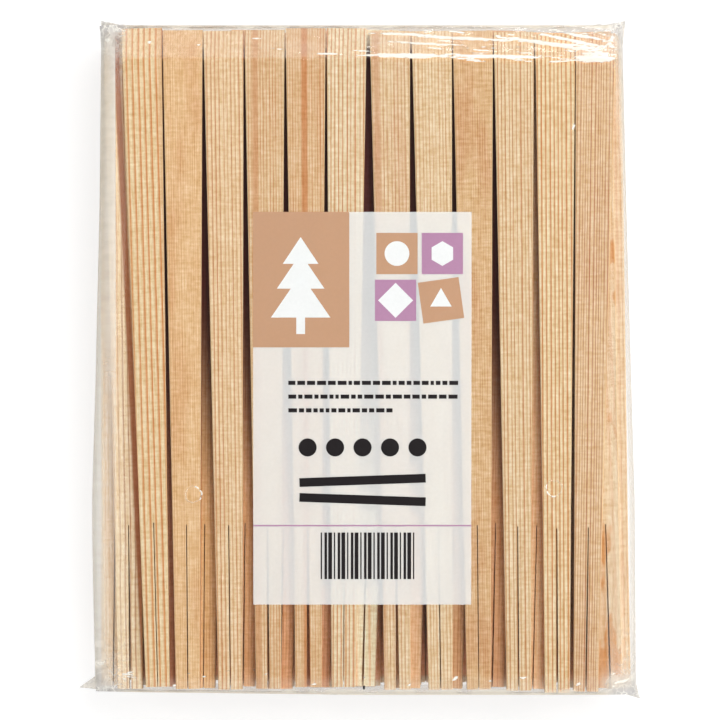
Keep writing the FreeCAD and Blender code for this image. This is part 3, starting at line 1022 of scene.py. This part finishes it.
    def _drape(self, block: Piece) -> None:
        """Draws the block over the bag's own sections, and pulls its ends out to the welds.

        Args:
            block: The block. Its slices come closer together near both ends of the bag.
        """
        share = points_of(block)
        slices, slice_of = np.unique(share[:, 1].round(5), return_inverse=True)
        levels, level_of = np.unique(share[:, 2].round(5), return_inverse=True)
        ys = np.interp(slices, (-1.0, *self.band_shares, 1.0), (
            self.tip_y, self.tip_y + self.tip_band, self.head_y - self.head_band, self.head_y))
        sides = np.zeros((len(slices), len(levels), 3))
        low, high = self.face_margins
        for i, y in enumerate(ys):
            top = self.top_at(0.0, y)
            for j, rise in enumerate((levels + 1) / 2):
                z = rise * top
                probe = min(max(z, low), top - high)
                sides[i, j] = (self._reach(-1, y, probe), self._reach(1, y, probe), z)
        self.outline = (ys, sides[:, :, 0].min(1), sides[:, :, 1].max(1))
        left, right, z = sides[slice_of, level_of].T
        x = left + (right - left) * ((share[:, 0] + 1) / 2)
        y = ys[slice_of]
        end = np.where(np.abs(share[:, 1]) > 0.9999, np.sign(share[:, 1]), 0.0)
        away = np.abs(z - self.weld_height) / np.where(z > self.weld_height, *self.tent_reach)
        y = y + end * self.tent * np.clip(1 - away, 0, 1) ** 1.3
        y += self._slope(x) * np.clip(1 - (y - self.tip_y) / self.slope_reach, 0, 1)
        shaped(block, x, y, z)

    def _slope(self, x: Array | float) -> Array | float:
        """How far the tip end of the bag is drawn in toward its left corner."""
        return self.tip_slope * np.clip(-x / self.half_width, 0, 1)

    def _crease(self, skin: Piece) -> None:
        """Raises the creases, crumples the corners and ends, and marks milkiness, painted glints and
        shade.

        Args:
            skin: The draped skin, still without its wall.
        """
        points = points_of(skin)
        normals = np.array([n.vector for n in skin.data.vertex_normals])
        top = normals[:, 2] > 0.2
        leftward = np.clip(-normals[:, 0], 0, 1)
        lift = np.full(len(points), self.proud)
        painted_glint = np.zeros(len(points))
        flat = points[:, :2] / MM
        for crease in self.creases.found():
            start = np.array((crease.x, crease.y))
            run = np.array((crease.to_x, crease.to_y)) - start
            share = np.clip(((flat - start) @ run) / (run @ run), 0, 1)
            away = np.linalg.norm(flat - start - share[:, None] * run, axis=1)
            fade = np.sin(np.pi * np.clip(share, 0.04, 0.96)) ** 0.5
            ridge = np.where(top, fade * np.exp(-(away / crease.width) ** 2), 0)
            lift += crease.height * MM * ridge
            painted_glint = np.maximum(painted_glint, crease.painted_glint * ridge)
        x, y, z = points.T
        near_end = np.minimum(self.head_y - y, y - self.tip_y)
        near_end = np.exp(-np.maximum(near_end, 0) / self.end_reach)
        inward = np.minimum(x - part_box("top_row_pair_01")[0].x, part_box("top_row_pair_12")[1].x - x)
        corner = near_end * (1 - within(inward, 0, self.corner_reach))
        lift += crushed(x, y, z) * MM * (
            self.corner_crush * corner * np.where(top, 1.0, self.side_crush)
            + self.end_crush * near_end * (1 - top))
        lift += self.belly_bulge * np.exp(-((y - self.belly_y) / self.belly_reach) ** 2) * leftward
        rise, fall = self.waist_reach
        lift -= (self.waist_depth * within(y, self.waist_from, rise) * leftward
                 * within(self.head_y - y, 0, fall))
        lift += (wander(x * 40, y * 22, z * 60) + 0.5) * self.uneven * MM
        lift = np.where(z < self.floor_band, 0.0, lift)
        shaped(skin, *(points + normals * lift[:, None]).T)
        haze, veil, pocket = self._haze(points, normals, corner)
        upper = np.clip((z - self.weld_height) / (4 * MM), 0.3, 1)
        marked(skin, haze, painted_glint, corner * 0.9 * upper, veil, pocket)

    def _haze(self, points: Array, normals: Array,
              corner: Array) -> tuple[Array, Array, Array]:
        """How milky the film is: most where it stands off the wood, at its sides and its ends.

        Args:
            points: The skin's points.
            normals: Their normals.
            corner: How near a corner it is, 0 to 1.

        Returns:
            The milkiness of each point, 0 to 1, what more of it shows along the film, and what
            the fold beside the first pair has.
        """
        x, y, z = points.T
        slanted = within(y, self.head_y - self.slant_length, 0.6 * MM)
        haze = self.milky.least + slanted * (self.milky.slant + 0.01 * within(x, -2 * MM, 10 * MM))
        flat = np.clip(normals[:, 2] / 0.18, 0.15, 1)
        for side, bands in ((-1, self.milky.left_bands), (1, self.milky.right_bands)):
            along, wide, milky = np.array(bands).T
            edge = np.interp(y, self.outline[0], self.outline[1 if side < 0 else 2])
            gap = (edge - x) * side
            wide = np.interp(y / MM, along, wide) * MM
            share = within(wide - gap, -1.0 * MM, 1.8 * MM)
            haze = np.maximum(haze, share * flat * np.interp(y / MM, along, milky))
        pocket = flat * np.interp(y / MM, *zip(*self.milky.pocket))
        past = np.maximum(y - self.head_y + 1.0 * MM, self.tip_y + 1.6 * MM - y)
        past += MM * wander(x * 190, 0.5, y * 30)
        haze += self.milky.end * flat * within(past, 0, 0.5 * MM)
        haze += 0.06 * flat * within(self.tip_y - y, -7 * MM, 3 * MM)
        haze += self.milky.corner * corner * flat
        for at_x, at_y, wide, high, share in self.milky.patches:
            away = ((x / MM - at_x) / wide) ** 2 + ((y / MM - at_y) / high) ** 2
            haze += share * flat * np.exp(-away)
        haze = np.where(z < self.floor_band, self.milky.floor, haze)
        upper = np.clip((z - self.weld_height) / (2 * MM), 0.25, 1)
        veil = 0.6 * upper * np.clip(1 - normals[:, 2] / 0.3, 0, 1)
        return np.clip(haze, 0, 0.9), veil, np.where(x < 0, pocket, 0)

    def _vents(self) -> list[Vector]:
        """The middles of the punched holes, read from the frame's film.

        Returns:
            One place a hole.
        """
        found = []
        near, far, low, high = self.vent_area
        for side in (-1, 1):
            ring = [(x, y) for x in np.arange(near, far, self.vent_step) * side * MM
                    for y in np.arange(low, high, self.vent_step) * MM
                    if self.top_at(x, y) < self.top_z - self.vent_drop]
            x, y = np.mean(ring, 0)
            found.append(Vector((x, y, self.top_at(0.0, y))))
        return found

    def _punch(self, skin: Piece, centre: Vector) -> Piece:
        """Cuts one vent hole through the skin's top, and gives it a melted, uneven rim.

        Args:
            skin: The skin.
            centre: The hole's middle.

        Returns:
            The rim.
        """
        punch = started(bpy.ops.mesh.primitive_cylinder_add, vertices=40, radius=self.vent,
                        depth=6 * MM, location=centre)
        modified(skin, "BOOLEAN", operation="DIFFERENCE", solver="FAST", object=punch)
        bpy.data.objects.remove(punch)
        lip = started(bpy.ops.mesh.primitive_torus_add, major_segments=56, minor_segments=10,
                      location=centre, major_radius=self.vent + self.lip_gap,
                      minor_radius=self.lip)
        bpy.ops.object.transform_apply()
        x, y, z = (points_of(lip) - centre).T
        angle = np.arctan2(y, x)
        sway = 1 + 0.05 * np.sin(3 * angle + centre.x * 900) + 0.03 * np.sin(7 * angle)
        z += 0.12 * MM * np.sin(2 * angle + 1)
        shaped(lip, centre.x + x * sway, centre.y + y * sway, centre.z + z)
        # A painted white glint on one side of the rim, at a fixed angle for each hole.
        glint = math.radians(30 if centre.x < 0 else 215)
        near = np.clip(np.cos(angle - glint) + 0.1, 0, 1) * np.clip(0.9 + np.sin(7 * angle), 0, 1)
        marked(lip, self.milky.lip, near, 0.0, 0.0, 0.0)
        return lip

    def _weld(self, side: int) -> Piece:
        """A crimped end weld, between the two folded corners.

        Args:
            side: 1 at the heads, -1 at the tips.

        Returns:
            The weld.
        """
        weld = started(bpy.ops.mesh.primitive_grid_add, x_subdivisions=180, y_subdivisions=6, size=2)
        s, out = (points_of(weld)[:, :2].T + 1) / 2
        end = self.head_y if side > 0 else self.tip_y
        left, right = [self._reach(edge, end, self.side_level) for edge in (-1, 1)]
        flare = np.exp(-(right - left) * np.minimum(s, 1 - s) / self.flare_reach)
        least, more = self.head_crimp if side > 0 else self.tip_crimp
        depth = (least + more * flare) * (1 + 0.25 * wander(s * 60, side * 3.1, 0))
        x = left + (right - left) * s
        start = self.tent * 0.7
        y = end + side * (start + np.maximum(depth - start, 0.2 * MM) * out)
        y += self._slope(x) if side < 0 else 0
        z = self.weld_height + wander(s * 34, out * 1.5, side * 7.7) * self.wave * MM * (0.4 + out)
        shaped(weld, x, y, z)
        # The weld's crush marks paint shade on it, more where it flares.
        marked(weld, self.milky.weld + 0.2 * out, 0.0, 0.5 + 0.3 * flare, 0.0, 0.0)
        self._stiffen(weld, self.weld_wall)
        return weld

    def _ear(self, side: int, end: int) -> Piece:
        """A corner of the bag, folded flat and crushed.

        Args:
            side: 1 at the right, -1 at the left.
            end: 1 at the heads, -1 at the tips.

        Returns:
            The folded corner.
        """
        ear = started(bpy.ops.mesh.primitive_grid_add, x_subdivisions=28, y_subdivisions=10, size=2)
        limit = self.head_y if end > 0 else self.tip_y
        length = self.ear_folds[0 if end < 0 else 1]
        fold = limit - end * length
        corner = np.array((self._reach(side, limit, self.side_level), limit + end * self.tent * 0.7))
        corner[1] += self._slope(corner[0]) if end < 0 else 0
        start = (self._reach(side, fold, self.side_level) - side * 0.2 * MM, fold)
        stop = corner - (side * length, 0)
        level = [v.co for v in self.film.data.vertices if abs(v.co.z - self.weld_height) < 0.6 * MM]
        tip = max(level, key=lambda co: 0.6 * side * co.x + end * co.y)
        u, v = (points_of(ear)[:, :2].T + 1) / 2
        inner, outer = [np.array([np.interp(u, (0.0, 0.5, 1.0), (start[i], middle[i], stop[i]))
                                  for i in (0, 1)]) for middle in (corner, tip)]
        x, y = inner + (outer - inner) * v
        crush = crushed(x, y, side * 0.1)
        away = np.hypot(x - corner[0], y - corner[1])
        z = self.weld_height + (crush - 0.4) * self.wave * MM * v + 0.12 * away * v
        shaped(ear, x, y, z)
        # The ear's fold ridges get painted white glints, and its crush marks paint shade on it.
        marked(ear, self.milky.ear, 0.3 * crush, 0.6, 0.0, 0.0)
        self._stiffen(ear, self.ear_wall)
        return ear

    @staticmethod
    def _stiffen(sheet: Piece, thickness: float) -> None:
        """Merges a sheet's doubled points, faces it upward and gives it a thickness.

        Args:
            sheet: The sheet.
            thickness: Its thickness, half of it to each side.
        """
        bpy.context.view_layer.objects.active = sheet
        bpy.ops.object.mode_set(mode="EDIT")
        bpy.ops.mesh.select_all(action="SELECT")
        bpy.ops.mesh.remove_doubles(threshold=0.01 * MM)
        bpy.ops.mesh.normals_make_consistent(inside=False)
        bpy.ops.object.mode_set(mode="OBJECT")
        modified(sheet, "SOLIDIFY", thickness=thickness, offset=0)


# Ink


class Ink(Enum):
    """The inks, each by the name of its material."""

    WHITE = "print_white"
    TAN = "print_tan"
    MAUVE = "print_mauve"
    BLACK = "print_black"


@dataclass(frozen=True)
class InkFinish:
    """Printing ink on film: a thin even coat, a little mottled."""

    ink: Ink
    colour: Colour
    cover: float

    def material(self) -> Material:
        """Builds the ink's material.

        Returns:
            The material.
        """
        g = MaterialGraph(self.ink.value)
        place = g.here()
        grainy = g.math("SUBTRACT", g.noise(place, (900, 900, 900), 2.0), 0.5)
        cloud = g.math("SUBTRACT", g.noise(place, (60, 25, 60), 2.0), 0.5)
        light = g.lift(cloud, 0.06, g.lift(grainy, 0.07, 1.0))
        grey = g.value("CombineColor", {0: light, 1: light, 2: light})
        bump = g.value("Bump", {"Height": cloud, "Strength": 0.2, "Distance": 0.4 * MM})
        return g.finish(g.value("BsdfPrincipled", {
            "Base Color": g.mix(1.0, self.colour, grey, "MULTIPLY"), "Alpha": self.cover,
            "Roughness": g.lift(grainy, 0.2, 0.42), "Normal": bump,
            "Specular IOR Level": 0.4}), lamps_pass=True)


@dataclass(frozen=True)
class Mark:
    """One printed shape: its middle, its size, its turn in degrees and how many sides it has."""

    x: float
    y: float
    wide: float
    high: float
    turn: float = 0.0
    sides: int = 4


@dataclass
class PrintedLabel:
    """The printing on the bag's top: plain fields of colour and simple shapes, in millimetres."""

    skin: Piece
    lots: random.Random = field(default_factory=lambda: random.Random(5))
    left: float = -38.8
    right: float = 40.6
    top: float = 53.6
    foot: float = -89.3
    coat: float = 0.015
    cell: float = 3.0

    def build(self) -> None:
        """Prints every ink, one piece an ink and layer."""
        white = InkFinish(Ink.WHITE, shade(246, 248, 247), 0.46)
        layers = self._fields() | {"print_dark_marks": self._black()}
        for name, finish, rise in (
                ("print_ground", white, 0.03),
                ("print_tan_field", InkFinish(Ink.TAN, shade(203, 158, 121), 0.74), 0.06),
                ("print_mauve_seals", InkFinish(Ink.MAUVE, shade(190, 142, 176), 0.85), 0.06),
                ("print_dark_marks", InkFinish(Ink.BLACK, shade(30, 24, 26), 0.97), 0.06),
                ("print_white_marks", replace(white, cover=0.9), 0.09)):
            marks = layers[name]
            piece = self._print(name, marks, rise * MM)
            piece.data.materials.append(finish.material())
            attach(piece, "root")
            LOG.info("printed %s: %d shapes", name, len(marks))

    def _fields(self) -> dict[str, list[Mark]]:
        """The larger shapes: the ground, the tan and mauve fields, and the white shapes on them.

        Returns:
            The marks of each layer, by its name.
        """
        middle, wide = (self.left + self.right) / 2, self.right - self.left
        seals = ((13.5, 38.5, 32), (30.0, 38.5, 6), (13.0, 21.5, 4), (29.5, 21.5, 3))
        return {
            "print_ground": [Mark(middle, (self.top + self.foot) / 2, wide, self.top - self.foot)],
            "print_tan_field": [Mark(self.left + 17.5, self.top - 24.6, 35, 49.2),
                                Mark(13.5, 38.5, 15, 15), Mark(29.5, 21.5, 15, 15, 8)],
            "print_mauve_seals": [Mark(30.0, 38.5, 15, 15), Mark(13.0, 21.5, 15, 15),
                                  Mark(middle, -60.5, wide, 0.5)],
            "print_white_marks": [
                Mark(-21.5, 38.0, 15, 13, 0, 3), Mark(-21.5, 30.0, 20, 17, 0, 3),
                Mark(-21.5, 20.5, 25, 21, 0, 3), Mark(-21.5, 12.5, 3.2, 6.5),
                *[Mark(x, y, 9, 9, 45 if sides == 4 else 0, sides) for x, y, sides in seals]]}

    def _black(self) -> list[Mark]:
        """Small dashes, a row of discs, two long bars and a comb of bars.

        Returns:
            The marks.
        """
        marks = []
        for y, reach in ((-8.5, 34), (-13.5, 34), (-18.5, 12)):
            x = -26.0
            while x < reach:
                wide = self.lots.uniform(1.2, 3.4)
                marks.append(Mark(x + wide / 2, y, wide, 1.5))
                x += wide + 0.7
        marks += [Mark(-19 + number * 10.0, -32.0, 6.6, 6.6, 0, 32) for number in range(5)]
        marks += [Mark(1.0, -44.0, 46, 3.2, 2), Mark(1.0, -51.0, 46, 3.2, -2)]
        marks += [Mark(-14 + number * 1.6, -71.5, 0.5 + 0.45 * (number % 3), 17)
                  for number in range(22)]
        return marks + [Mark(1.5, -119.6, 0.7, 1.4)]

    def _print(self, name: str, marks: list[Mark], rise: float) -> Piece:
        """Lays shapes of one ink on the film.

        Args:
            name: The piece's name.
            marks: Its shapes.
            rise: How far above the film it lies.

        Returns:
            The finished piece.
        """
        piece = joined(name, [self._shape(mark) for mark in marks])
        modified(piece, "SHRINKWRAP", target=self.skin, wrap_method="PROJECT", use_project_z=True,
                 use_negative_direction=True, use_positive_direction=False, offset=rise)
        modified(piece, "SOLIDIFY", thickness=self.coat * MM, offset=1)
        return piece

    def _shape(self, mark: Mark) -> Piece:
        """Makes one flat shape above the film, with cells fine enough to follow it.

        Args:
            mark: The shape.

        Returns:
            The shape's piece.
        """
        place = (mark.x * MM, mark.y * MM, 60 * MM)
        if mark.sides == 4:
            cells = [max(1, math.ceil(size / self.cell)) for size in (mark.wide, mark.high)]
            shape = started(bpy.ops.mesh.primitive_grid_add, x_subdivisions=cells[0],
                            y_subdivisions=cells[1], size=1, location=place)
        else:
            shape = started(bpy.ops.mesh.primitive_circle_add, vertices=mark.sides, radius=0.5,
                            fill_type="TRIFAN", location=place)
        shape.scale = (mark.wide * MM, mark.high * MM, 1)
        shape.rotation_euler = (0, 0, math.radians(mark.turn))
        bpy.ops.object.transform_apply()
        return shape


# Studio


@dataclass(frozen=True)
class Panel:
    """A soft light: where it hangs, its width, its height and its strength, in metres and watts."""

    name: str
    place: Triple
    wide: float
    high: float
    power: float


@dataclass
class Studio:
    """The pale floor, the soft lights and the camera straight above."""

    view_from: Triple = (0.07 * MM, -0.18 * MM, 1.2)
    lens: float = 159.79
    floor_size: float = 8.0
    floor_drop: float = 0.3 * MM
    ambient: float = 0.18
    zenith: float = 0.03
    horizon: float = 0.55
    floor_tone: Colour = (0.46, 0.46, 0.46, 1.0)
    floor_glow: float = 0.70
    floor_gleam: float = 0.7
    panels: tuple[Panel, ...] = (
        Panel("key_light", (0.55, 0.58, 1.30), 1.10, 0.28, 11.5),
        Panel("head_light", (-0.10, 0.85, 1.28), 1.00, 0.50, 1.3),
        Panel("back_fill", (0.0, 1.4, 0.45), 0.9, 0.6, 2.0),
        Panel("left_fill", (-1.3, 0.1, 0.65), 0.9, 0.9, 5.4),
        Panel("front_fill", (0.3, -1.3, 0.65), 0.9, 0.9, 5.2),
        Panel("right_fill", (1.3, 0.0, 0.65), 0.9, 0.9, 5.0),
    )

    def build(self) -> None:
        """Sets up the floor, the world, the lights and the camera."""
        self._floor()
        self._world()
        for panel in self.panels:
            self._light(panel)
        self._camera()
        LOG.info("studio ready: %d lights", len(self.panels))

    @staticmethod
    def _seen(g: Graph, glossy: float) -> Socket:
        """Which rays see a white ground: the camera's, those through film, a share of glossy ones.

        Args:
            g: The tree.
            glossy: The share.

        Returns:
            How much of the white ground a ray sees, 0 to 1.
        """
        rays = g.place("LightPath").outputs
        seen = g.math("MAXIMUM", rays["Is Camera Ray"], rays["Is Transmission Ray"])
        return g.math("MAXIMUM", seen, g.times(rays["Is Glossy Ray"], glossy))

    def _floor(self) -> None:
        """Lays a plain pale floor under the pack."""
        floor = started(bpy.ops.mesh.primitive_plane_add, size=self.floor_size,
                        location=(0, 0, -self.floor_drop))
        floor.name = "floor"
        bpy.ops.object.transform_apply()
        g = MaterialGraph("pale_floor")
        paint = g.value("BsdfPrincipled", {
            "Base Color": self.floor_tone, "Roughness": 0.9, "Specular IOR Level": 0.0})
        glow = g.value("Emission", {
            "Color": (1, 1, 1, 1),
            "Strength": g.times(self._seen(g, self.floor_gleam), self.floor_glow)})
        floor.data.materials.append(g.finish(g.value("AddShader", {0: paint, 1: glow})))

    def _world(self) -> None:
        """Makes an even pale surround, white where it is seen."""
        world = bpy.data.worlds.new("surround")
        bpy.context.scene.world = world
        world.use_nodes = True
        g = Graph(world.node_tree)
        up = g.parts(g.place("TexCoord").outputs["Generated"])[2]
        dome = g.plus(g.step(up, 0.80, 0.97, self.ambient, self.zenith),
                      g.step(up, 0.25, 0.60, self.horizon, 0.0))
        strength = g.even(self._seen(g, 0.0), 0.0, 1.0, dome, 1.0)
        sky = g.value("Background", {"Color": (1, 1, 1, 1), "Strength": strength})
        g.place("OutputWorld", {"Surface": sky})

    @staticmethod
    def _light(panel: Panel) -> None:
        """Hangs one soft light, aimed at the pack.

        Args:
            panel: The light.
        """
        data = bpy.data.lights.new(panel.name, "AREA")
        data.shape = "RECTANGLE"
        data.size, data.size_y = panel.wide, panel.high
        data.energy = panel.power
        lamp = bpy.data.objects.new(panel.name, data)
        bpy.context.scene.collection.objects.link(lamp)
        lamp.location = panel.place
        lamp.rotation_euler = (-Vector(panel.place)).to_track_quat("-Z", "Y").to_euler()

    def _camera(self) -> None:
        """Hangs the camera straight above the pack."""
        data = bpy.data.cameras.new("camera")
        data.lens = self.lens
        data.clip_start, data.clip_end = 0.05, 20
        camera = bpy.data.objects.new("camera", data)
        bpy.context.scene.collection.objects.link(camera)
        camera.location = self.view_from
        bpy.context.scene.camera = camera
        bpy.context.scene.view_settings.view_transform = "Standard"


def main() -> None:
    """Loads the frame and builds the pack's looks, piece by piece."""
    logging.basicConfig(level=logging.INFO, format="%(name)s: %(message)s")
    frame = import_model()
    Studio().build()
    CedarPairs(frame["nodes"], CedarGrain()).dress()
    skin = FilmBag(frame["nodes"]["film_bag"]).build()
    skin.data.materials.clear()
    skin.data.materials.append(ClearFilm().material())
    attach(skin, "root")
    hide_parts("film_bag")
    LOG.info("made %s: %d faces", skin.name, len(skin.data.polygons))
    PrintedLabel(skin).build()


if __name__ == "__main__":
    main()
